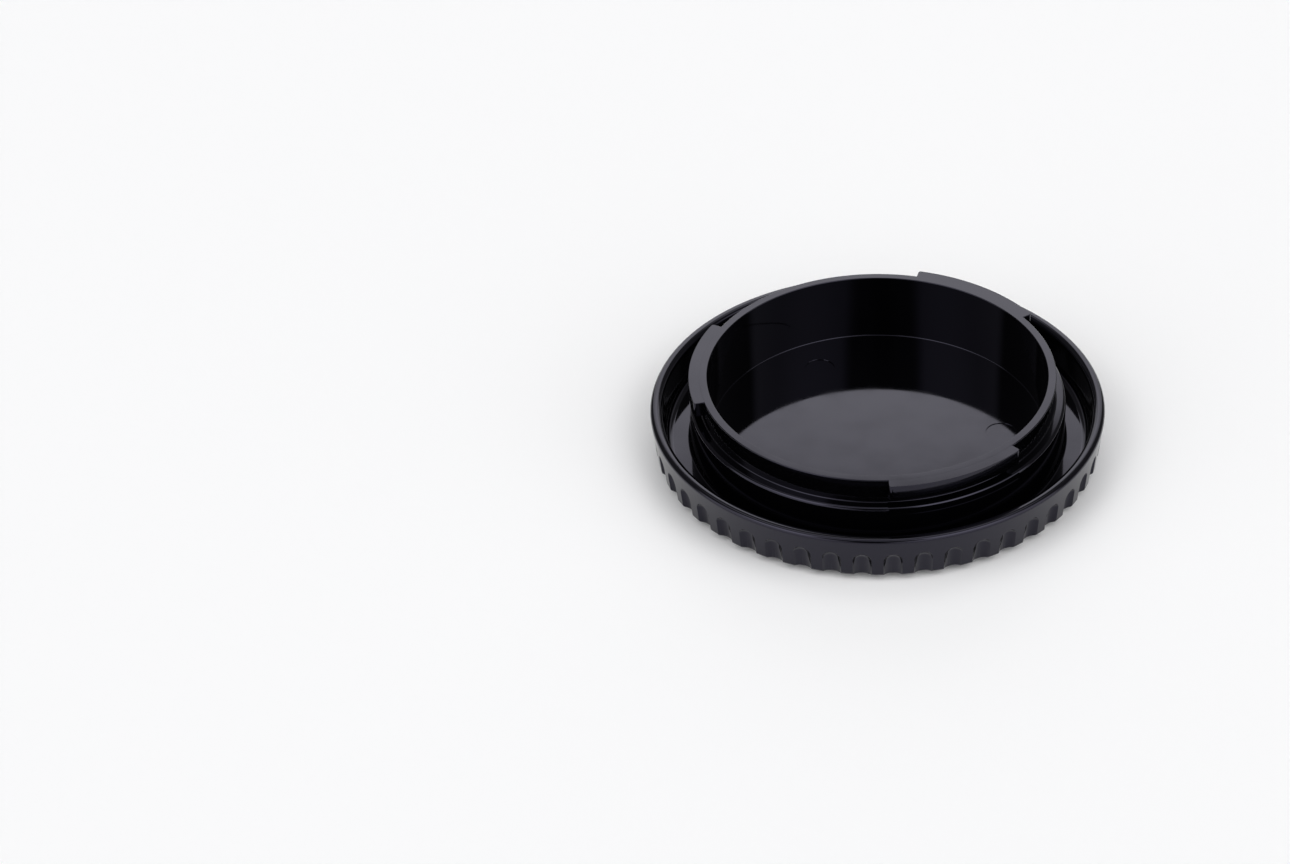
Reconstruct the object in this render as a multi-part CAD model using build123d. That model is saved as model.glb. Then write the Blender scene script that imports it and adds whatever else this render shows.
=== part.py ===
from build123d import *
import math
import os

# Camera body cap: one piece moulded in black ABS. Sizes in millimetres, angles in degrees.
# The origin is on the mount's axis, in the plane of the skirt's open rim, which seats
# against the camera. +Z points into the camera, and the grip face looks down.

# Locating collar, which centres the cap in the camera's throat
throat_d = 54.0
collar_clearance = 0.15
collar_height = 1.2
collar_edge_round = 0.3
collar_foot_round = 0.4

# Bayonet tube that stands on the collar, and the cup inside it
ledge_width = 1.45
ledge_round = 0.45
tube_wall = 1.2
tube_height = 4.9
tube_edge_round = 0.25
cup_draft = 0.6
cup_foot_round = 0.4

# Bayonet lugs at the tube's end
lug_count = 3
lug_first_angle = 55.0
lug_span = 43.5
lug_thickness = 2.25
lug_root = 0.5
lug_end_round = 0.35

# Shallow relief that the mould's slides leave in the collar under each lug
relief_depth = 0.1
relief_start = 0.0

# Trough between collar and skirt, and the skirt that covers the camera's mount ring
trough_width = 3.95
trough_depth = 5.3
trough_foot_round = 1.2
rim_wall = 1.7
rim_inner_round = 0.8
rim_outer_round = 0.5
skirt_inner_draft = 4.0
skirt_outer_draft = 6.3
shoulder_round = 0.35

# Grip face: a round recess with a raised lip and a slope from the lip to the shoulder
plate_wall = 1.05
lip_height = 1.1
lip_inset = 4.4
lip_round = 1.2
recess_wall_angle = 60.0
recess_foot_round = 1.2

# Scoops round the skirt for the fingers
scoop_count = 48
scoop_r = 1.5
scoop_depth = 1.05
band_height = 2.4

# Index dimple on the sloped face
index_d = 2.8
index_depth = 0.8
index_inset = 2.65
index_angle = -47.6

# Empty panel recess and gate ring in the middle of the face
panel_straight = 32.0
panel_width = 13.2
panel_bulge = 2.3
panel_corner_round = 0.5
panel_depth = 0.3
gate_outer_d = 3.6
gate_inner_d = 2.0
gate_depth = 0.3

# Ejector-pin marks on the cup's floor
ejector_count = 3
ejector_first_angle = -1.3
ejector_d = 4.3
ejector_inset = 6.35
ejector_depth = 0.1

# Places that follow from the sizes above
collar_r = throat_d / 2 - collar_clearance
tube_outer_r = collar_r - ledge_width
cup_mouth_r = tube_outer_r - tube_wall
cup_floor_r = cup_mouth_r - (tube_height + trough_depth) * math.tan(math.radians(cup_draft))
rim_inner_r = collar_r + trough_width
rim_outer_r = rim_inner_r + rim_wall
trough_outer_r = rim_inner_r - trough_depth * math.tan(math.radians(skirt_inner_draft))
face_depth = trough_depth + plate_wall
shoulder_r = rim_outer_r - face_depth * math.tan(math.radians(skirt_outer_draft))
lip_r = shoulder_r - lip_inset
lip_depth = face_depth + lip_height


def face_profile() -> tuple[list[tuple[float, float]], list[float]]:
    """Corners and roundings of the grip face's section, from the recess to the shoulder."""
    wall = math.radians(recess_wall_angle)
    # A rounding at either end of the recess wall takes at most its half of the lip's height.
    round_limit = 0.95 * lip_height / (2 * (1 - math.cos(wall)))
    crest = min(lip_round, round_limit)
    foot = min(recess_foot_round, round_limit)
    # The slope runs from the shoulder and touches the lip's rounding from below.
    centre_z = -lip_depth + crest
    run, rise = shoulder_r - lip_r, -face_depth - centre_z
    slope = math.atan2(rise, run) + math.asin(crest / math.hypot(run, rise))
    # The recess wall touches the same rounding from the axis side.
    wall_r = lip_r - crest / math.sin(wall) + (centre_z + face_depth) / math.tan(wall)
    slope_drop = (shoulder_r - wall_r) * math.tan(slope)
    corner_r = wall_r + slope_drop / (math.tan(wall) + math.tan(slope))
    corner_z = -face_depth - (corner_r - wall_r) * math.tan(wall)
    corners = [(wall_r, -face_depth), (corner_r, corner_z), (shoulder_r, -face_depth)]
    return corners, [foot, crest, shoulder_round]


def cap_section() -> Face:
    """Half section of the whole moulding, in the XZ plane."""
    face_corners, face_rounds = face_profile()
    outline = [
        (rim_outer_r, 0, rim_outer_round),
        (rim_inner_r, 0, rim_inner_round),
        (trough_outer_r, -trough_depth, trough_foot_round),
        (collar_r, -trough_depth, collar_foot_round),
        (collar_r, collar_height, collar_edge_round),
        (tube_outer_r, collar_height, ledge_round),
        (tube_outer_r, tube_height, tube_edge_round),
        (cup_mouth_r, tube_height, tube_edge_round),
        (cup_floor_r, -trough_depth, cup_foot_round),
    ]
    corners = [(0, -face_depth)] + face_corners
    corners += [(r, z) for r, z, _ in outline] + [(0, -trough_depth)]
    rounds = [0] + face_rounds + [rounding for _, _, rounding in outline] + [0]
    return make_face(Plane.XZ * FilletPolyline(*corners, radius=rounds, close=True))


def sector(inner_r: float, outer_r: float, low: float, high: float) -> Part:
    """A piece of a ring over one lug's span, centred on +X."""
    ring = Plane.XZ * Pos((inner_r + outer_r) / 2, (low + high) / 2)
    section = ring * Rectangle(outer_r - inner_r, high - low)
    return Rot(0, 0, -lug_span / 2) * revolve(section, Axis.Z, lug_span)


def lug() -> Part:
    """One bayonet lug, centred on +X, rooted in the tube's wall and flush with its end."""
    body = sector(tube_outer_r - lug_root, collar_r, tube_height - lug_thickness, tube_height)
    outer = body.faces().filter_by(GeomType.CYLINDER).sort_by(SortBy.RADIUS)[-1]
    return fillet(outer.edges().filter_by(Axis.Z), lug_end_round)


def slide_relief() -> Part:
    """What one slide takes off the collar under a lug, from the seating plane upwards."""
    groove_middle = (collar_height + tube_height - lug_thickness) / 2
    return sector(collar_r - relief_depth, rim_inner_r, relief_start, groove_middle)


def scoop() -> Part:
    """One ball-ended finger scoop, on +X, that runs out through the shoulder."""
    half_width = math.sqrt(scoop_r**2 - (scoop_r - scoop_depth) ** 2)
    length = lip_depth
    barrel = Pos(0, 0, -half_width - length / 2) * Cylinder(scoop_r, length)
    ball = Pos(0, 0, -half_width) * Sphere(scoop_r)
    # It leans with the skirt's draft, so that it is as deep all the way down.
    wall_point = Pos(rim_outer_r, 0, -band_height) * Rot(0, skirt_outer_draft, 0)
    return wall_point * Pos(scoop_r - scoop_depth, 0, 0) * (ball + barrel)


def index_dimple() -> Part:
    """The blind round hole on the slope that marks where the cap goes on."""
    centre_r = shoulder_r - index_inset
    high = -face_depth + index_depth - index_inset * lip_height / lip_inset
    hole = Cylinder(index_d / 2, high + lip_depth, align=(Align.CENTER, Align.CENTER, Align.MAX))
    return Rot(0, 0, index_angle) * Pos(centre_r, 0, high) * hole


def panel_recess() -> Part:
    """The shallow panel with bulging ends in the middle of the face."""
    x, y = panel_straight / 2, panel_width / 2
    right = ThreePointArc((x, -y), (x + panel_bulge, 0), (x, y))
    left = ThreePointArc((-x, y), (-x - panel_bulge, 0), (-x, -y))
    outline = make_face([Line((-x, -y), (x, -y)), right, Line((x, y), (-x, y)), left])
    outline = fillet(outline.vertices(), panel_corner_round)
    return Pos(0, 0, -face_depth) * extrude(outline, panel_depth)


def gate_ring() -> Part:
    """The ring groove round the gate, in the middle of the panel."""
    ring = Circle(gate_outer_d / 2) - Circle(gate_inner_d / 2)
    return Pos(0, 0, -face_depth + panel_depth) * extrude(ring, gate_depth)


def ejector_mark() -> Part:
    """One round mark that an ejector pin leaves in the cup's floor, on +X."""
    mark = Cylinder(ejector_d / 2, ejector_depth, align=(Align.CENTER, Align.CENTER, Align.MAX))
    return Pos(cup_floor_r - ejector_inset, 0, -trough_depth) * mark


def around(shape: Part, count: int, first_angle: float) -> list[Part]:
    """Copies of a shape, evenly spaced about the mount's axis."""
    return [place * shape for place in PolarLocations(0, count, first_angle)]


def body_cap() -> Part:
    """The whole moulding as one solid."""
    half_pitch = 180 / scoop_count
    cap = revolve(cap_section(), Axis.Z)
    cap -= around(slide_relief(), lug_count, lug_first_angle)
    cap += around(lug(), lug_count, lug_first_angle)
    cap -= around(scoop(), scoop_count, -90 + half_pitch)
    cap -= around(ejector_mark(), ejector_count, ejector_first_angle)
    return cap - [index_dimple(), panel_recess(), gate_ring()]


os.makedirs("parts", exist_ok=True)
export_step(body_cap(), "parts/body_cap.step")
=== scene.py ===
"""Camera body cap: the glossy black moulding, its studio and its camera.

The cap lies grip face down with its mount side up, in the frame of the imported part. Sizes are
written in millimetres and degrees, and turned to metres and radians where they are used.
"""

import logging
import math
from collections.abc import Callable, Iterable
from dataclasses import dataclass, field
from enum import Enum

import bmesh
import bpy
from mathutils import Matrix, Vector


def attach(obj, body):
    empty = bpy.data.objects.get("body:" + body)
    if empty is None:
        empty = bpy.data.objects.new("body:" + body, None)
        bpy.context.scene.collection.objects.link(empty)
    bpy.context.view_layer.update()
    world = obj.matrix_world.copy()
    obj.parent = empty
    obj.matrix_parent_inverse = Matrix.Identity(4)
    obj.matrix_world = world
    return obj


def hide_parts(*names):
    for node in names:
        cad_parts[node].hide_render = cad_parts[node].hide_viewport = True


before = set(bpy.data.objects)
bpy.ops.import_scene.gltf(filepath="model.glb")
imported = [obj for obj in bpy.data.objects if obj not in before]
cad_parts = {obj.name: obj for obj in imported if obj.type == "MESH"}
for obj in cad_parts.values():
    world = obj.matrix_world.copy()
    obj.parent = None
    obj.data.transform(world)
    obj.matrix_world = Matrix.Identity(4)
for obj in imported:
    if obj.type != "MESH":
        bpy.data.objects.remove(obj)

LOG = logging.getLogger("body_cap")
MM = 0.001
# Points nearer to each other than this are one point, in metres
TOUCH = 1e-7
# The most that one segment of a rounding turns, in degrees
ROUNDING_STEP = 9.0
# A face whose normal rises less than this is upright
UPRIGHT = 0.5


class Part(Enum):
    """What an edit-mode selection is made of."""

    VERTS = "VERT"
    EDGES = "EDGE"
    FACES = "FACE"


class Join(Enum):
    """How one solid is combined with another."""

    UNION = "UNION"
    DIFFERENCE = "DIFFERENCE"


def linear(hex_colour: str) -> tuple[float, float, float, float]:
    """Turns an sRGB hex colour to the linear one that Blender works in.

    Args:
        hex_colour: Six hex digits after a hash sign.

    Returns:
        Red, green, blue and an alpha of 1.
    """
    channels = [int(hex_colour[i : i + 2], 16) / 255 for i in (1, 3, 5)]
    # The standard's curve is a straight line for dark values and a power for the others.
    low = [c / 12.92 for c in channels]
    high = [((c + 0.055) / 1.055) ** 2.4 for c in channels]
    red, green, blue = (a if c <= 0.04045 else b for c, a, b in zip(channels, low, high))
    return red, green, blue, 1.0


def add_node(tree: bpy.types.NodeTree, kind: str, settings: dict, links: dict) -> bpy.types.Node:
    """Adds one node with its settings and the links into it.

    Args:
        tree: The node tree that it goes into.
        kind: The node's type, such as ShaderNodeTexNoise.
        settings: Properties by name, and values of input sockets by name or index.
        links: Input sockets by name or index, each with the output socket that feeds it.

    Returns:
        The new node.
    """
    node = tree.nodes.new(kind)
    for key, value in settings.items():
        if isinstance(key, str) and hasattr(node, key):
            setattr(node, key, value)
        else:
            node.inputs[key].default_value = value
    for key, source in links.items():
        tree.links.new(source, node.inputs[key])
    return node


def polar(radius: float, angle: float, height: float) -> Vector:
    """The point at a radius, an angle and a height about the mount's axis, in metres."""
    turn = math.radians(angle)
    return Vector((radius * math.cos(turn), radius * math.sin(turn), height)) * MM


def radius_of(point: Vector) -> float:
    """A point's distance from the mount's axis, in millimetres."""
    return math.hypot(point.x, point.y) / MM


def angle_of(point: Vector) -> float:
    """A point's angle about the mount's axis from +X, in degrees."""
    return math.degrees(math.atan2(point.y, point.x))


def around(count: int, first_angle: float) -> list[float]:
    """Angles evenly spaced about the mount's axis, from a first one."""
    return [first_angle + i * 360 / count for i in range(count)]


class Workpiece:
    """One mesh under the modeller's hands."""

    def __init__(self, name: str) -> None:
        """Takes over the object that was just added, and opens it with all of it selected.

        Args:
            name: The object's name.
        """
        self.obj = bpy.context.object
        self.obj.name = name
        self.edit()
        bpy.ops.mesh.select_mode(type=Part.VERTS.value)
        bpy.ops.mesh.select_all(action="SELECT")

    @classmethod
    def from_point(cls, name: str, start: Vector) -> "Workpiece":
        """Starts from a single point of a section, which is a small plane merged to its centre.

        Args:
            name: The object's name.
            start: The point, in metres.

        Returns:
            The piece, with the point selected.
        """
        put_down()
        bpy.ops.mesh.primitive_plane_add(size=MM, location=(0, 0, 0))
        piece = cls(name)
        bpy.ops.mesh.merge(type="CENTER")
        bpy.ops.mesh.select_all(action="SELECT")
        bpy.ops.transform.translate(value=start)
        return piece

    @classmethod
    def from_disc(cls, name: str, radius: float, place: Vector, sides: int) -> "Workpiece":
        """Starts from a level disc.

        Args:
            name: The object's name.
            radius: Its radius, in millimetres.
            place: Its centre, in metres.
            sides: How many sides stand for the circle.

        Returns:
            The piece, with the disc selected.
        """
        put_down()
        bpy.ops.mesh.primitive_circle_add(
            vertices=sides, radius=radius * MM, fill_type="NGON", location=place
        )
        bpy.ops.object.transform_apply(location=True, rotation=True, scale=True)
        return cls(name)

    @classmethod
    def from_ball(cls, name: str, radius: float, sides: int) -> "Workpiece":
        """Starts from a ball at the origin.

        Args:
            name: The object's name.
            radius: Its radius, in millimetres.
            sides: How many segments go round it.

        Returns:
            The piece, with the ball selected.
        """
        put_down()
        bpy.ops.mesh.primitive_uv_sphere_add(
            segments=sides, ring_count=sides // 2, radius=radius * MM
        )
        return cls(name)

    def edit(self) -> None:
        """Makes the object the active one and opens it in edit mode."""
        bpy.context.view_layer.objects.active = self.obj
        if self.obj.mode != "EDIT":
            bpy.ops.object.mode_set(mode="EDIT")

    def select(self, part: Part, test: Callable[..., bool]) -> int:
        """Selects what passes a test, and nothing else.

        Args:
            part: Whether vertices, edges or faces are tested.
            test: Says of one element whether it is selected.

        Returns:
            How many elements were selected.
        """
        self.edit()
        bpy.ops.mesh.select_mode(type=part.value)
        bpy.ops.mesh.select_all(action="DESELECT")
        mesh = bmesh.from_edit_mesh(self.obj.data)
        pools = {Part.VERTS: mesh.verts, Part.EDGES: mesh.edges, Part.FACES: mesh.faces}
        chosen = [element for element in pools[part] if test(element)]
        for element in chosen:
            element.select_set(True)
        mesh.select_flush_mode()
        bmesh.update_edit_mesh(self.obj.data)
        return len(chosen)

    def draw(self, points: Iterable[Vector], start: Vector) -> None:
        """Extrudes the selected point along a line of further points.

        Args:
            points: The points in order, in metres.
            start: Where the selected point is.
        """
        last = start
        for point in points:
            self.extrude(point - last)
            last = point

    @staticmethod
    def extrude(step: Vector) -> None:
        """Extrudes what is selected by a step, in metres."""
        bpy.ops.mesh.extrude_region_move(TRANSFORM_OT_translate={"value": step})

    def round_corner(self, place: Vector, before: Vector, after: Vector, rounding: float) -> None:
        """Rounds one corner of a drawn line.

        Args:
            place: The corner.
            before: The corner before it.
            after: The corner after it.
            rounding: The radius, in millimetres.
        """
        turn = (place - before).angle(after - place)
        # This profile puts the rounding's middle on a true arc, whatever the turn.
        profile = (1 - 1 / (2 * (1 + math.cos(turn / 2)))) ** 2
        self.select(Part.VERTS, lambda v: (v.co - place).length < TOUCH)
        bpy.ops.mesh.bevel(
            offset=rounding * MM * math.tan(turn / 2),
            segments=max(2, math.ceil(math.degrees(turn) / ROUNDING_STEP)),
            profile=profile,
            affect="VERTICES",
            offset_type="OFFSET",
            clamp_overlap=False,
        )

    def spin(self, angle: float, steps: int) -> None:
        """Turns the whole drawing about the mount's axis, and keeps what it sweeps.

        Args:
            angle: How far it turns, in degrees.
            steps: How many facets that makes.
        """
        bpy.ops.mesh.select_all(action="SELECT")
        bpy.ops.mesh.spin(steps=steps, angle=math.radians(angle), center=(0, 0, 0), axis=(0, 0, -1))
        self.close()

    def close(self) -> None:
        """Merges doubles and turns all faces outwards."""
        bpy.ops.mesh.select_all(action="SELECT")
        bpy.ops.mesh.remove_doubles(threshold=TOUCH)
        bpy.ops.mesh.normals_make_consistent(inside=False)

    def cap_end(self, angle: float) -> None:
        """Closes an open end with one face.

        Args:
            angle: The angle that the end stands at, in degrees.
        """
        side = polar(1, angle + 90, 0).normalized()
        self.select(Part.VERTS, lambda v: abs(v.co.dot(side)) < TOUCH)
        bpy.ops.mesh.edge_face_add()

    def bevel(self, width: float, segments: int) -> None:
        """Rounds the selected edges, by a width in millimetres."""
        bpy.ops.mesh.bevel(offset=width * MM, segments=segments, affect="EDGES", clamp_overlap=True)

    def finished(self) -> bpy.types.Object:
        """Turns all faces outwards and leaves edit mode.

        Returns:
            The object.
        """
        bpy.ops.mesh.select_all(action="SELECT")
        bpy.ops.mesh.normals_make_consistent(inside=False)
        leave()
        return self.obj

    def combine(self, other: bpy.types.Object, join: Join) -> None:
        """Adds another solid to this one, or takes it away, and deletes it.

        Args:
            other: The other solid.
            join: What is done with it.
        """
        leave()
        bpy.context.view_layer.objects.active = self.obj
        modifier = self.obj.modifiers.new("combine", "BOOLEAN")
        modifier.operation = join.value
        modifier.solver = "EXACT"
        modifier.object = other
        bpy.ops.object.modifier_apply(modifier=modifier.name)
        bpy.data.objects.remove(other)


def leave() -> None:
    """Goes back to object mode, if any object is in edit mode."""
    if bpy.context.object and bpy.context.object.mode == "EDIT":
        bpy.ops.object.mode_set(mode="OBJECT")


def put_down() -> None:
    """Leaves edit mode and deselects every object."""
    leave()
    bpy.ops.object.select_all(action="DESELECT")


def joined(pieces: list[bpy.types.Object]) -> bpy.types.Object:
    """Joins objects into the first of them.

    Args:
        pieces: The objects, of which all but the first are used up.

    Returns:
        The joined object.
    """
    put_down()
    for piece in pieces:
        piece.select_set(True)
    bpy.context.view_layer.objects.active = pieces[0]
    if len(pieces) > 1:
        bpy.ops.object.join()
    return pieces[0]


def copies_around(obj: bpy.types.Object, angles: Iterable[float]) -> bpy.types.Object:
    """Copies a piece to several angles about the mount's axis and joins the copies.

    Args:
        obj: The piece as modelled, which is used up.
        angles: How far each copy is turned, in degrees.

    Returns:
        The joined object.
    """
    put_down()
    copies = []
    for angle in angles:
        copy = obj.copy()
        copy.data = obj.data.copy()
        copy.data.transform(Matrix.Rotation(math.radians(angle), 4, "Z"))
        bpy.context.scene.collection.objects.link(copy)
        copies.append(copy)
    bpy.data.objects.remove(obj)
    return joined(copies)


@dataclass(frozen=True)
class Ripple:
    """A faint relief of the surface: its pitch, height and strength, and its noise's detail."""

    pitch: float
    height: float
    strength: float
    detail: float


@dataclass(frozen=True)
class MouldedAbs:
    """Black ABS moulded in a polished mould: to the eye a deep black with a crisp, dim gloss."""

    name: str = "moulded_abs_polished_black"
    colour: str = "#030304"
    gloss_tint: str = "#E2DEFF"
    ior: float = 1.46
    # Handling leaves patches, 5 mm across, whose roughness wanders between these two.
    roughness: tuple[float, float] = (0.048, 0.102)
    patch_pitch: float = 5.0
    patch_detail: float = 4.0
    # What the patches' noise keeps between, which becomes the two values of roughness
    patch_noise: tuple[float, float] = (0.35, 0.75)
    # The walls sink a little as they cool, which bends the reflections over 9 mm.
    sink: Ripple = Ripple(9.0, 0.02, 0.5, 1.0)
    # The mould's orange peel, 0.4 mm from bump to bump, which is as fine as still shows
    peel: Ripple = Ripple(0.4, 0.001, 0.3, 2.0)

    def material(self) -> bpy.types.Material:
        """Builds the material.

        Returns:
            A material whose roughness and faint waviness come from noise in Object space.
        """
        material = bpy.data.materials.new(self.name)
        material.use_nodes = True
        tree = material.node_tree
        tree.nodes.clear()
        place = add_node(tree, "ShaderNodeTexCoord", {}, {}).outputs["Object"]
        sunk = self.relief(tree, self.sink, place, {})
        surface = self.relief(tree, self.peel, place, {"Normal": sunk})
        grain = {"Scale": 1 / (self.patch_pitch * MM), "Detail": self.patch_detail}
        patches = add_node(tree, "ShaderNodeTexNoise", grain, {"Vector": place}).outputs["Fac"]
        spread = {
            "From Min": self.patch_noise[0],
            "From Max": self.patch_noise[1],
            "To Min": self.roughness[0],
            "To Max": self.roughness[1],
        }
        rough = add_node(tree, "ShaderNodeMapRange", spread, {"Value": patches}).outputs["Result"]
        look = {
            "Base Color": linear(self.colour),
            "IOR": self.ior,
            "Specular Tint": linear(self.gloss_tint),
        }
        links = {"Roughness": rough, "Normal": surface}
        shader = add_node(tree, "ShaderNodeBsdfPrincipled", look, links)
        add_node(tree, "ShaderNodeOutputMaterial", {}, {"Surface": shader.outputs["BSDF"]})
        return material

    @staticmethod
    def relief(
        tree: bpy.types.NodeTree, ripple: Ripple, place: bpy.types.NodeSocket, under: dict
    ) -> bpy.types.NodeSocket:
        """Draws one relief of the surface.

        Args:
            tree: The material's node tree.
            ripple: The relief.
            place: Where on the object a point of the surface is.
            under: The link to the relief that it lies on, if there is one.

        Returns:
            The surface's normal.
        """
        grain = {"Scale": 1 / (ripple.pitch * MM), "Detail": ripple.detail}
        height = add_node(tree, "ShaderNodeTexNoise", grain, {"Vector": place}).outputs["Fac"]
        rise = {"Strength": ripple.strength, "Distance": ripple.height * MM}
        links = {"Height": height, **under}
        return add_node(tree, "ShaderNodeBump", rise, links).outputs["Normal"]


@dataclass(frozen=True)
class MattLaminate:
    """White laminate with a matt pressed surface: to the eye an even white with no reflections."""

    name: str = "matt_white_table"
    colour: str = "#FAFAFB"
    roughness: float = 0.9

    def material(self) -> bpy.types.Material:
        """Builds the material.

        Returns:
            A material that is the same all over.
        """
        material = bpy.data.materials.new(self.name)
        material.use_nodes = True
        shader = material.node_tree.nodes["Principled BSDF"]
        shader.inputs["Base Color"].default_value = linear(self.colour)
        shader.inputs["Roughness"].default_value = self.roughness
        return material


@dataclass(frozen=True)
class Corner:
    """One corner of a section, by its radius and height, and the radius of its rounding."""

    radius: float
    height: float
    rounding: float = 0.0


@dataclass(frozen=True)
class CapSizes:
    """The moulding's driving sizes and roundings, and the places that follow from them."""

    # Locating collar
    collar_radius: float = 26.85
    collar_height: float = 1.2
    collar_edge_round: float = 0.5
    collar_foot_round: float = 0.4
    # Bayonet tube that stands on the collar, and the cup inside it
    ledge_width: float = 1.45
    tube_foot_round: float = 0.15
    tube_wall: float = 1.2
    tube_height: float = 4.9
    tube_edge_round: float = 0.12
    cup_draft: float = 0.6
    cup_foot_round: float = 0.15
    # Trough between collar and skirt, and the skirt
    trough_width: float = 3.95
    trough_depth: float = 5.3
    trough_foot_round: float = 1.2
    rim_wall: float = 1.7
    rim_inner_round: float = 0.8
    rim_outer_round: float = 0.5
    skirt_inner_draft: float = 4.0
    skirt_outer_draft: float = 6.3
    shoulder_round: float = 0.35
    # Grip face: a round recess with a raised lip, and a slope from the lip to the shoulder
    plate_wall: float = 1.05
    lip_height: float = 1.1
    lip_inset: float = 4.4
    lip_round: float = 1.045
    recess_wall_angle: float = 60.0
    # The lip's corner stands this much higher, so that no facet reaches past the solid's box.
    lip_clearance: float = 0.0026

    @property
    def tube_radius(self) -> float:
        """The bayonet tube's outer radius."""
        return self.collar_radius - self.ledge_width

    @property
    def cup_floor_radius(self) -> float:
        """The cup's radius at its floor."""
        draft = math.tan(math.radians(self.cup_draft))
        return self.tube_radius - self.tube_wall - (self.tube_height + self.trough_depth) * draft

    @property
    def rim_inner_radius(self) -> float:
        """The inner radius of the skirt's rim."""
        return self.collar_radius + self.trough_width

    @property
    def rim_radius(self) -> float:
        """The outer radius of the skirt's rim."""
        return self.rim_inner_radius + self.rim_wall

    @property
    def face_depth(self) -> float:
        """How far the grip face lies below the rim."""
        return self.trough_depth + self.plate_wall

    @property
    def lip_depth(self) -> float:
        """How far the lip lies below the rim."""
        return self.face_depth + self.lip_height

    @property
    def shoulder_radius(self) -> float:
        """The radius at which the skirt meets the sloped face."""
        draft = math.tan(math.radians(self.skirt_outer_draft))
        return self.rim_radius - self.face_depth * draft

    def face(self) -> list[Corner]:
        """The grip face's corners: the recess wall's foot, the lip's crest and the shoulder.

        Returns:
            The three corners, outwards.
        """
        wall = math.radians(self.recess_wall_angle)
        lip_radius = self.shoulder_radius - self.lip_inset
        # The slope and the recess wall both touch the crest's rounding from outside.
        rise = self.lip_round - self.lip_height
        reach = math.hypot(self.lip_inset, rise)
        slope = math.asin(self.lip_round / reach) - math.atan2(rise, self.lip_inset)
        foot = lip_radius - self.lip_round / math.sin(wall) + rise / math.tan(wall)
        drop = (self.shoulder_radius - foot) * math.tan(slope)
        run = drop / (math.tan(wall) + math.tan(slope))
        crest = -self.face_depth - run * math.tan(wall) + self.lip_clearance
        return [
            Corner(foot, -self.face_depth, self.lip_round),
            Corner(foot + run, crest, self.lip_round),
            Corner(self.shoulder_radius, -self.face_depth, self.shoulder_round),
        ]

    def section(self) -> list[Corner]:
        """The half section of the whole moulding.

        Returns:
            Its corners, from the middle of the grip face to the middle of the cup's floor.
        """
        mouth = self.tube_radius - self.tube_wall
        skirt = self.trough_depth * math.tan(math.radians(self.skirt_inner_draft))
        return [
            Corner(0.0, -self.face_depth),
            *self.face(),
            Corner(self.rim_radius, 0.0, self.rim_outer_round),
            Corner(self.rim_inner_radius, 0.0, self.rim_inner_round),
            Corner(self.rim_inner_radius - skirt, -self.trough_depth, self.trough_foot_round),
            Corner(self.collar_radius, -self.trough_depth, self.collar_foot_round),
            Corner(self.collar_radius, self.collar_height, self.collar_edge_round),
            Corner(self.tube_radius, self.collar_height, self.tube_foot_round),
            Corner(self.tube_radius, self.tube_height, self.tube_edge_round),
            Corner(mouth, self.tube_height, self.tube_edge_round),
            Corner(self.cup_floor_radius, -self.trough_depth, self.cup_foot_round),
            Corner(0.0, -self.trough_depth),
        ]


@dataclass(frozen=True)
class Sector:
    """A piece of a ring, centred on +X: its radii, heights and span, and one facet's angle."""

    inner: float
    outer: float
    low: float
    high: float
    span: float
    step: float

    def build(self, name: str) -> Workpiece:
        """Models the sector.

        Args:
            name: The object's name.

        Returns:
            A closed solid.
        """
        first = -self.span / 2
        start = polar(self.inner, first, self.low)
        piece = Workpiece.from_point(name, start)
        corners = [(self.outer, self.low), (self.outer, self.high), (self.inner, self.high)]
        piece.draw([polar(r, first, z) for r, z in corners], start)
        piece.select(Part.VERTS, lambda v: True)
        bpy.ops.mesh.edge_face_add()
        bpy.ops.mesh.delete(type="ONLY_FACE")
        piece.spin(self.span, round(self.span / self.step))
        if self.span < 360:
            piece.cap_end(first)
            piece.cap_end(-first)
        piece.close()
        return piece


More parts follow.
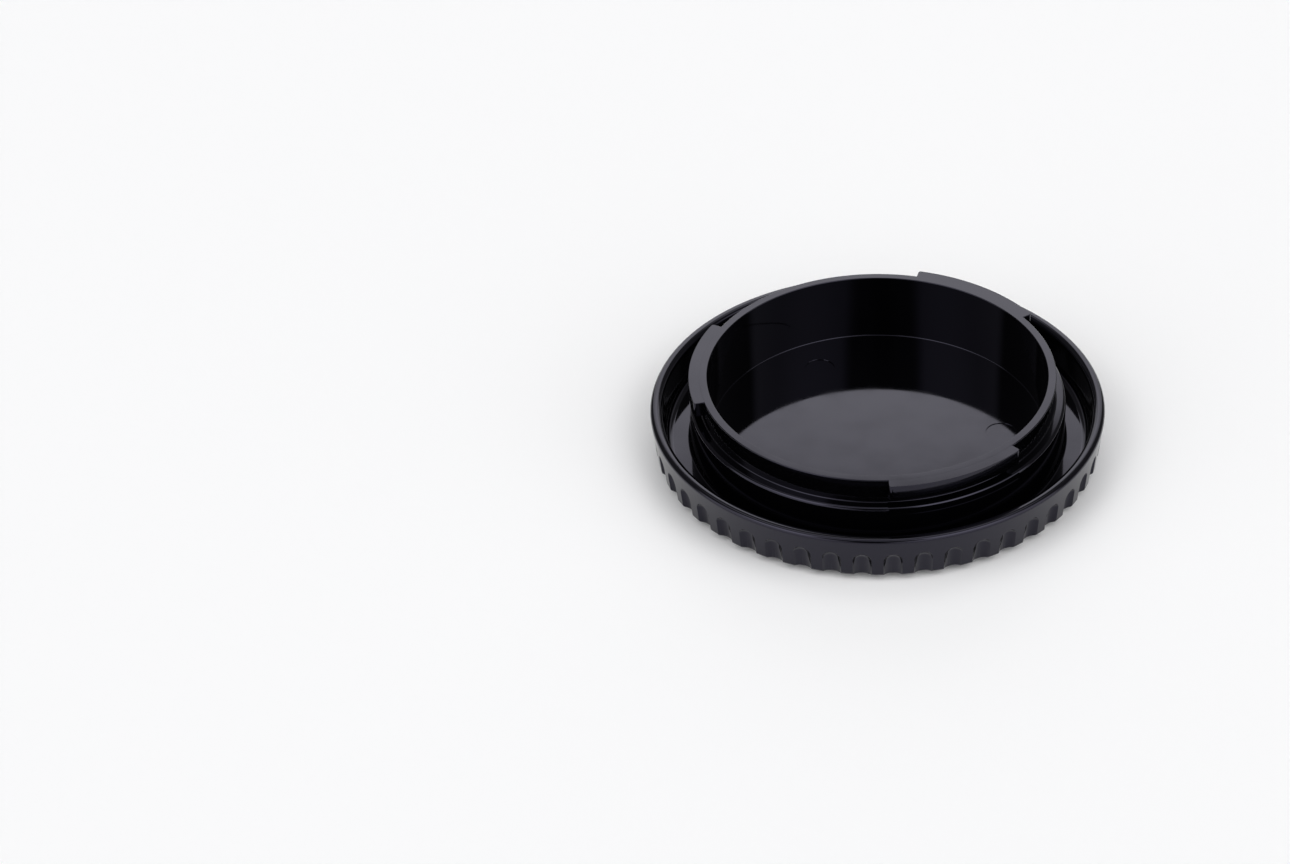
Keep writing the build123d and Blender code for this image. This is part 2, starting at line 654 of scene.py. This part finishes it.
@dataclass(frozen=True)
class Scoops:
    """The ball-ended finger scoops in the skirt's wall, one to each pitch of the grip."""

    count: int = 48
    radius: float = 1.5
    depth: float = 1.05
    band_height: float = 2.4
    edge_round: float = 0.1
    edge_segments: int = 2
    # The cutter's barrel is long enough to run out through the shoulder and past the lip.
    length: float = 8.2
    sides: int = 40
    # A scoop's edge lies outside this radius, within this share of the pitch on either side,
    # and the surface turns across it by more than this angle.
    edge_radius: float = 31.0
    edge_share: float = 0.4
    edge_turn: float = 25.8

    @property
    def pitch(self) -> float:
        """The angle from one scoop to the next."""
        return 360 / self.count

    def cutter(self, sizes: CapSizes) -> bpy.types.Object:
        """Models the cutter of one scoop on +X.

        Args:
            sizes: The moulding's sizes.

        Returns:
            A closed solid: a ball above and a barrel that runs down from it.
        """
        half_width = math.sqrt(self.radius**2 - (self.radius - self.depth) ** 2)
        # It leans with the skirt's draft, so that it is as deep all the way down.
        lean = Matrix.Rotation(math.radians(sizes.skirt_outer_draft), 4, "Y")
        offset = lean @ Vector((self.radius - self.depth, 0, -half_width))
        place = (Vector((sizes.rim_radius, 0, -self.band_height)) + offset) * MM
        piece = Workpiece.from_ball("scoop_cutter", self.radius, self.sides)
        bpy.ops.mesh.bisect(plane_co=(0, 0, 0), plane_no=(0, 0, -1), clear_outer=True)
        piece.select(Part.VERTS, lambda v: abs(v.co.z) < TOUCH)
        piece.extrude(Vector((0, 0, -self.length * MM)))
        bpy.ops.mesh.edge_face_add()
        obj = piece.finished()
        obj.data.transform(Matrix.Translation(place) @ lean)
        return obj

    def ease(self, piece: Workpiece) -> None:
        """Rounds the edge all round the scoop on +X.

        Args:
            piece: The wedge with its scoop.
        """

        def on_edge(edge: bmesh.types.BMEdge) -> bool:
            """Says whether an edge is part of the scoop's rim.

            Args:
                edge: An edge of the wedge.

            Returns:
                Whether it is.
            """
            middle = (edge.verts[0].co + edge.verts[1].co) / 2
            beside = abs(angle_of(middle)) < self.pitch * self.edge_share
            near = beside and radius_of(middle) > self.edge_radius
            return near and edge.calc_face_angle(0) > math.radians(self.edge_turn)

        count = piece.select(Part.EDGES, on_edge)
        LOG.info("scoop rim: %d edges", count)
        piece.bevel(self.edge_round, self.edge_segments)


@dataclass(frozen=True)
class Lugs:
    """The bayonet lugs at the tube's end, and the relief that a mould's slide leaves under each."""

    count: int = 3
    first_angle: float = 55.0
    span: float = 43.5
    step: float = 1.25
    thickness: float = 2.25
    root: float = 0.5
    end_round: float = 0.35
    end_segments: int = 5
    edge_round: float = 0.08
    edge_segments: int = 2
    # The lugs end this much below the tube, so that the union joins no coplanar faces.
    end_gap: float = 0.002
    relief_depth: float = 0.1
    # The relief's cutter stops this much short of the rim's wall.
    relief_gap: float = 0.01
    # A point within this distance of a wall, or within this angle of an end, lies on it.
    near: float = 0.001
    # Faces that turn less than this towards each other become one.
    flat_turn: float = 0.5

    def sector(self, sizes: CapSizes) -> Sector:
        """One lug before its edges are rounded.

        Args:
            sizes: The moulding's sizes.

        Returns:
            The lug's sector, which is rooted in the tube's wall.
        """
        low, high = sizes.tube_height - self.thickness, sizes.tube_height - self.end_gap
        inner = sizes.tube_radius - self.root
        return Sector(inner, sizes.collar_radius, low, high, self.span, self.step)

    def build(self, sizes: CapSizes) -> bpy.types.Object:
        """Models the lugs.

        Args:
            sizes: The moulding's sizes.

        Returns:
            One object with a closed solid for each.
        """
        sector = self.sector(sizes)
        piece = sector.build("lugs")

        def upright(edge: bmesh.types.BMEdge) -> bool:
            """Says whether an edge is one of the two upright outer ones.

            Args:
                edge: An edge of the lug.

            Returns:
                Whether it is.
            """
            ends = [v.co for v in edge.verts]
            outer = all(radius_of(p) > sector.outer - self.near for p in ends)
            at_end = all(abs(abs(angle_of(p)) - self.span / 2) < self.near for p in ends)
            return outer and at_end and abs(ends[0].z - ends[1].z) > TOUCH

        def rim(edge: bmesh.types.BMEdge) -> bool:
            """Says whether an edge runs along the top or bottom of a wall outside the tube.

            Args:
                edge: An edge of the lug.

            Returns:
                Whether it does.
            """
            walls = [face for face in edge.link_faces if abs(face.normal.z) < UPRIGHT]
            tube = sizes.tube_radius
            return len(walls) == 1 and radius_of(walls[0].calc_center_median()) > tube

        piece.select(Part.EDGES, upright)
        piece.bevel(self.end_round, self.end_segments)
        piece.select(Part.EDGES, rim)
        piece.bevel(self.edge_round, self.edge_segments)
        return copies_around(piece.obj, around(self.count, self.first_angle))

    def relief_cutter(self, sizes: CapSizes) -> bpy.types.Object:
        """Models what the slides take off the collar, from the rim's plane upwards.

        Args:
            sizes: The moulding's sizes.

        Returns:
            One object with a closed solid for each lug.
        """
        inner = sizes.collar_radius - self.relief_depth
        outer = sizes.rim_inner_radius - self.relief_gap
        high = (sizes.collar_height + sizes.tube_height - self.thickness) / 2
        relief = Sector(inner, outer, 0.0, high, self.span, self.step).build("relief_cutter")
        return copies_around(relief.obj, around(self.count, self.first_angle))

    def flatten(self, piece: Workpiece, sizes: CapSizes) -> None:
        """Makes each flat side of a lug one face, so that it shades flat up to the roundings.

        Args:
            piece: The moulding with its lugs.
            sizes: The moulding's sizes.
        """
        sector = self.sector(sizes)
        for level in (sector.low * MM, sector.high * MM):

            def level_face(face: bmesh.types.BMFace, height: float = level) -> bool:
                """Whether a face lies in the plane of a lug's top or bottom."""
                return all(abs(v.co.z - height) < TOUCH for v in face.verts)

            piece.select(Part.FACES, level_face)
            bpy.ops.mesh.dissolve_limited(angle_limit=math.radians(self.flat_turn))


@dataclass(frozen=True)
class EjectorMarks:
    """The round marks that the ejector pins leave in the cup's floor, with eased edges."""

    count: int = 3
    first_angle: float = -1.3
    radius: float = 2.15
    inset: float = 6.35
    depth: float = 0.1
    ease: float = 0.02
    sides: int = 64

    def cutters(self, sizes: CapSizes) -> list[bpy.types.Object]:
        """Models a cutter for each mark.

        Args:
            sizes: The moulding's sizes.

        Returns:
            Closed solids that reach past the floor.
        """
        surface, place = -sizes.trough_depth, sizes.cup_floor_radius - self.inset
        wide, wider = self.radius + self.ease, self.radius + 2 * self.ease
        # The heights that the cutter's wall rises to, and what its outline is scaled by at each
        levels = (
            (surface - self.ease, 1.0),
            (surface, wide / self.radius),
            (surface + self.ease, wider / wide),
        )
        marks = []
        for i, angle in enumerate(around(self.count, self.first_angle)):
            last = surface - self.depth
            centre = polar(place, angle, last)
            mark = Workpiece.from_disc(f"ejector_cutter_{i}", self.radius, centre, self.sides)
            for level, scale in levels:
                mark.extrude(Vector((0, 0, (level - last) * MM)))
                bpy.ops.transform.resize(value=(scale, scale, 1.0), center_override=centre)
                last = level
            marks.append(mark.finished())
        return marks


@dataclass(frozen=True)
class Panel:
    """The shallow empty panel with bulging ends, and the gate's ring groove in its middle."""

    straight: float = 32.0
    width: float = 13.2
    bulge: float = 2.3
    corner: float = 0.5
    depth: float = 0.3
    ease: float = 0.05
    sides: int = 24
    gate_inner: float = 1.0
    gate_outer: float = 1.8
    gate_depth: float = 0.3
    gate_step: float = 7.5

    def outline(self, height: float) -> list[Vector]:
        """The panel's outline, from the middle of one long side all the way round.

        Args:
            height: The height that it is drawn at, in millimetres.

        Returns:
            Its points, in metres.
        """
        half_width = self.width / 2
        end_radius = (half_width**2 + self.bulge**2) / (2 * self.bulge)
        centre = self.straight / 2 + self.bulge - end_radius
        # The outline stands outside the panel's wall by the easing of its edge.
        reach, half_width = end_radius + self.ease, half_width + self.ease
        last = math.asin(half_width / reach)
        turns = [last * (2 * i / self.sides - 1) for i in range(self.sides + 1)]
        right = [(centre + reach * math.cos(t), reach * math.sin(t)) for t in turns]
        flat = [(0.0, -half_width), *right, *((-x, -y) for x, y in right)]
        return [Vector((x, y, height)) * MM for x, y in flat]

    def cutter(self, sizes: CapSizes) -> bpy.types.Object:
        """Models the panel's cutter.

        Args:
            sizes: The moulding's sizes.

        Returns:
            A closed solid that reaches past the face.
        """
        places = self.outline(-sizes.face_depth - self.depth)
        piece = Workpiece.from_point("panel_cutter", places[0])
        piece.draw(places[1:], places[0])
        last = len(places) - 1
        for i in (1, self.sides + 1, self.sides + 2, last):
            after = places[i + 1] if i < last else places[0]
            piece.round_corner(places[i], places[i - 1], after, self.corner + self.ease)
        bpy.ops.mesh.select_all(action="SELECT")
        bpy.ops.mesh.edge_face_add()
        past, eased = Vector((0, 0, self.depth * MM)), Vector((0, 0, self.ease * MM))
        piece.extrude(past)
        bpy.ops.mesh.inset(thickness=self.ease * MM, depth=0)
        bpy.ops.transform.translate(value=eased)
        piece.extrude(past - eased)
        piece.close()
        leave()
        return piece.obj

    def gate_cutter(self, sizes: CapSizes) -> bpy.types.Object:
        """Models the cutter of the ring groove, from below the panel's floor upwards.

        Args:
            sizes: The moulding's sizes.

        Returns:
            A closed ring.
        """
        floor = -sizes.face_depth + self.depth
        low, high = floor - self.depth / 2, floor + self.gate_depth
        ring = Sector(self.gate_inner, self.gate_outer, low, high, 360.0, self.gate_step)
        return ring.build("gate_cutter").obj


@dataclass(frozen=True)
class Dimple:
    """The index dimple on the sloped face: a round blind hole with an eased rim."""

    radius: float = 1.4
    depth: float = 0.8
    inset: float = 2.65
    angle: float = -47.6
    ease: float = 0.08
    ease_segments: int = 2
    sides: int = 48
    cutter_length: float = 2.0
    # The rim's points lie no further than this from the hole's wall and more than this below
    # its floor, and the surface turns there by more than this angle.
    rim_near: float = 0.01
    rim_below: float = 0.3
    rim_turn: float = 45.8

    def centre(self, sizes: CapSizes) -> Vector:
        """The middle of the hole's floor.

        Args:
            sizes: The moulding's sizes.

        Returns:
            The point, in metres.
        """
        fall = self.inset * sizes.lip_height / sizes.lip_inset
        height = -sizes.face_depth + self.depth - fall
        return polar(sizes.shoulder_radius - self.inset, self.angle, height)

    def cutter(self, sizes: CapSizes) -> bpy.types.Object:
        """Models the cutter.

        Args:
            sizes: The moulding's sizes.

        Returns:
            A closed solid that reaches past the sloped face.
        """
        hole = Workpiece.from_disc("dimple_cutter", self.radius, self.centre(sizes), self.sides)
        hole.extrude(Vector((0, 0, -self.cutter_length * MM)))
        return hole.finished()

    def ease_rim(self, piece: Workpiece, sizes: CapSizes) -> None:
        """Rounds the edge where the dimple meets the sloped face.

        Args:
            piece: The moulding with its dimple.
            sizes: The moulding's sizes.
        """
        centre = self.centre(sizes)

        def on_rim(edge: bmesh.types.BMEdge) -> bool:
            """Says whether an edge is part of the dimple's rim.

            Args:
                edge: An edge of the moulding.

            Returns:
                Whether it is.
            """
            ends = [v.co - centre for v in edge.verts]
            on_wall = all(abs(radius_of(p) - self.radius) < self.rim_near for p in ends)
            below = all(p.z < -self.rim_below * MM for p in ends)
            return on_wall and below and edge.calc_face_angle(0) > math.radians(self.rim_turn)

        count = piece.select(Part.EDGES, on_rim)
        LOG.info("dimple rim: %d edges", count)
        piece.bevel(self.ease, self.ease_segments)


@dataclass
class BodyCap:
    """The whole moulding: skirt with scoops, trough, collar, bayonet tube with lugs, and cup."""

    sizes: CapSizes = field(default_factory=CapSizes)
    scoops: Scoops = field(default_factory=Scoops)
    lugs: Lugs = field(default_factory=Lugs)
    marks: EjectorMarks = field(default_factory=EjectorMarks)
    panel: Panel = field(default_factory=Panel)
    dimple: Dimple = field(default_factory=Dimple)
    plastic: MouldedAbs = field(default_factory=MouldedAbs)
    # The section is spun in this many steps to a pitch, and a grip crest is centred on -Y.
    steps: int = 6
    crest_angle: float = -90.0
    # Edges that turn less than this shade smooth, and a weight above 50 favours large faces.
    smooth_turn: float = 32.0
    face_weight: int = 70

    def build(self) -> bpy.types.Object:
        """Models the moulding.

        Returns:
            The finished object.
        """
        piece = self.wedge()
        turns = around(self.scoops.count, self.crest_angle + self.scoops.pitch / 2)
        piece.obj = copies_around(piece.obj, turns)
        piece.edit()
        piece.close()
        LOG.info("wedges joined: %d faces", len(piece.obj.data.polygons))
        piece.combine(self.cutters(), Join.DIFFERENCE)
        piece.combine(self.panel.gate_cutter(self.sizes), Join.DIFFERENCE)
        self.dimple.ease_rim(piece, self.sizes)
        piece.combine(self.lugs.build(self.sizes), Join.UNION)
        self.finish(piece)
        return piece.obj

    def wedge(self) -> Workpiece:
        """Models one pitch of the grip: the whole section, spun, with one scoop on +X.

        Returns:
            The wedge, open at both ends.
        """
        first = -self.scoops.pitch / 2
        section = self.sizes.section()
        places = [polar(corner.radius, first, corner.height) for corner in section]
        piece = Workpiece.from_point("cap_moulding", places[0])
        piece.draw(places[1:], places[0])
        for i, corner in enumerate(section):
            if corner.rounding:
                piece.round_corner(places[i], places[i - 1], places[i + 1], corner.rounding)
        piece.spin(self.scoops.pitch, self.steps)
        piece.cap_end(first)
        piece.cap_end(-first)
        piece.close()
        piece.combine(self.scoops.cutter(self.sizes), Join.DIFFERENCE)
        self.scoops.ease(piece)
        for angle in (first, -first):
            side = polar(1, angle + 90, 0).normalized()

            def at_end(face: bmesh.types.BMFace, across: Vector = side) -> bool:
                """Whether a face is the flat end of the wedge."""
                return all(abs(v.co.dot(across)) < TOUCH for v in face.verts)

            piece.select(Part.FACES, at_end)
            bpy.ops.mesh.delete(type="FACE")
        leave()
        return piece

    def cutters(self) -> bpy.types.Object:
        """Models all that is taken off the joined wedges, the gate's groove apart.

        Returns:
            One object with the reliefs, the panel, the index dimple and the ejector marks.
        """
        relief = self.lugs.relief_cutter(self.sizes)
        panel, dimple = self.panel.cutter(self.sizes), self.dimple.cutter(self.sizes)
        return joined([relief, panel, dimple, *self.marks.cutters(self.sizes)])

    def finish(self, piece: Workpiece) -> None:
        """Shades the moulding smooth, with flat faces kept flat up to their roundings.

        Args:
            piece: The whole moulding.
        """
        piece.edit()
        piece.close()
        self.lugs.flatten(piece, self.sizes)
        put_down()
        piece.obj.select_set(True)
        bpy.context.view_layer.objects.active = piece.obj
        bpy.ops.object.shade_smooth_by_angle(angle=math.radians(self.smooth_turn))
        modifier = piece.obj.modifiers.new("weighted", "WEIGHTED_NORMAL")
        modifier.keep_sharp = True
        modifier.weight = self.face_weight
        bpy.ops.object.modifier_apply(modifier=modifier.name)

    def dress(self, cap: bpy.types.Object) -> None:
        """Gives the moulding its material."""
        cap.data.materials.append(self.plastic.material())


@dataclass(frozen=True)
class Softbox:
    """A round soft area of the room: its direction, spread and soft edge, and its strengths."""

    azimuth: float
    elevation: float
    spread: float
    edge: float
    inside: float
    outside: float = 0.0

    def glow(self, tree: bpy.types.NodeTree, look: bpy.types.NodeSocket) -> bpy.types.NodeSocket:
        """Adds the nodes for its strength.

        Args:
            tree: The world's node tree.
            look: The direction of a ray.

        Returns:
            The strength in that direction.
        """
        turn, tilt = math.radians(self.azimuth), math.radians(self.elevation)
        centre = (math.cos(turn) * math.cos(tilt), math.sin(turn) * math.cos(tilt), math.sin(tilt))
        aim = {"operation": "DOT_PRODUCT", 1: centre}
        near = add_node(tree, "ShaderNodeVectorMath", aim, {0: look})
        ramp = {
            "interpolation_type": "SMOOTHSTEP",
            "From Min": math.cos(math.radians(self.spread + self.edge)),
            "From Max": math.cos(math.radians(self.spread)),
            "To Min": self.outside,
            "To Max": self.inside,
        }
        fade = add_node(tree, "ShaderNodeMapRange", ramp, {"Value": near.outputs["Value"]})
        return fade.outputs["Result"]


@dataclass(frozen=True)
class Studio:
    """A pale table at a depth below the rim's plane, and the soft light of a bright room."""

    table_depth: float
    table_size: float = 6000.0
    table_top: MattLaminate = MattLaminate()
    # The room's own light, from every direction
    ambient: float = 0.15
    # Behind the cap: a low wide panel, a brighter spot near its top and a high panel
    back: tuple[Softbox, ...] = (
        Softbox(90, 10, 27.0, 1.6, 1.2),
        Softbox(90, 30, 5.5, 3.5, 0.7),
        Softbox(90, 64, 15, 7, 1.1),
    )
    # At the camera's side: a low wide panel to its right and to its left, and a high one on each
    front: tuple[Softbox, ...] = (
        Softbox(-40, 25, 37, 8, 1.35),
        Softbox(-142, 25, 33, 8, 1.35),
        Softbox(-45, 58, 16, 14, 1.3),
        Softbox(-135, 58, 16, 14, 1.3),
    )
    # Round the camera and above it the room is dim.
    gap: Softbox = Softbox(-94, 46, 18, 7, 0.1, 1.0)

    def build(self) -> None:
        """Builds the table and the light."""
        self.table()
        self.world()

    def table(self) -> None:
        """Adds the table that the cap lies on."""
        put_down()
        bpy.ops.mesh.primitive_plane_add(size=self.table_size * MM, location=(0, 0, 0))
        table = bpy.context.object
        table.name = "table"
        table.data.transform(Matrix.Translation((0, 0, -self.table_depth * MM)))
        table.data.materials.append(self.table_top.material())

    def world(self) -> None:
        """Lights the scene from a bright room with soft panels and a dim gap at the camera."""
        world = bpy.data.worlds.new("bright_room")
        bpy.context.scene.world = world
        world.use_nodes = True
        tree = world.node_tree
        tree.nodes.clear()
        look = add_node(tree, "ShaderNodeTexCoord", {}, {}).outputs["Generated"]
        glows = [panel.glow(tree, look) for panel in self.back + self.front]
        # The room's own light is added to the first panel's, and each further panel to the sum.
        add = {"operation": "ADD"}
        total = add_node(tree, "ShaderNodeMath", {**add, 0: self.ambient}, {1: glows[0]})
        for glow in glows[1:]:
            total = add_node(tree, "ShaderNodeMath", add, {0: total.outputs[0], 1: glow})
        dimming = {0: total.outputs[0], 1: self.gap.glow(tree, look)}
        light = add_node(tree, "ShaderNodeMath", {"operation": "MULTIPLY"}, dimming)
        white = {"Color": linear("#FFFFFF")}
        strength = {"Strength": light.outputs[0]}
        room = add_node(tree, "ShaderNodeBackground", white, strength).outputs["Background"]
        add_node(tree, "ShaderNodeOutputWorld", {}, {"Surface": room})


@dataclass(frozen=True)
class PhotoCamera:
    """The camera, at the photograph's viewing angle."""

    elevation: float = 35.8
    distance: float = 430.0
    lens: float = 84.0
    sensor_width: float = 36.0
    shift: tuple[float, float] = (-0.1803, -0.02465)
    # Nothing nearer than the first or further than the second is drawn.
    clip: tuple[float, float] = (10.0, 10000.0)

    def build(self) -> None:
        """Adds the camera, which looks at the mount's axis in the rim's plane."""
        data = bpy.data.cameras.new("photo_camera")
        data.lens = self.lens
        data.sensor_width = self.sensor_width
        data.sensor_fit = "HORIZONTAL"
        data.shift_x, data.shift_y = self.shift
        data.clip_start, data.clip_end = (distance * MM for distance in self.clip)
        camera = bpy.data.objects.new("photo_camera", data)
        bpy.context.scene.collection.objects.link(camera)
        tilt = math.radians(self.elevation)
        camera.location = Vector((0, -math.cos(tilt), math.sin(tilt))) * self.distance * MM
        camera.rotation_euler = (math.pi / 2 - tilt, 0, 0)
        bpy.context.scene.camera = camera


def main() -> None:
    """Builds the cap, the studio and the camera."""
    logging.basicConfig(level=logging.INFO)
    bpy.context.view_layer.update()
    bpy.context.scene.view_settings.view_transform = "Standard"
    moulding = BodyCap()
    cap = moulding.build()
    moulding.dress(cap)
    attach(cap, "root")
    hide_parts("body_cap")
    LOG.info("%s: %d faces", cap.name, len(cap.data.polygons))
    Studio(moulding.sizes.lip_depth).build()
    PhotoCamera().build()


if __name__ == "__main__":
    main()
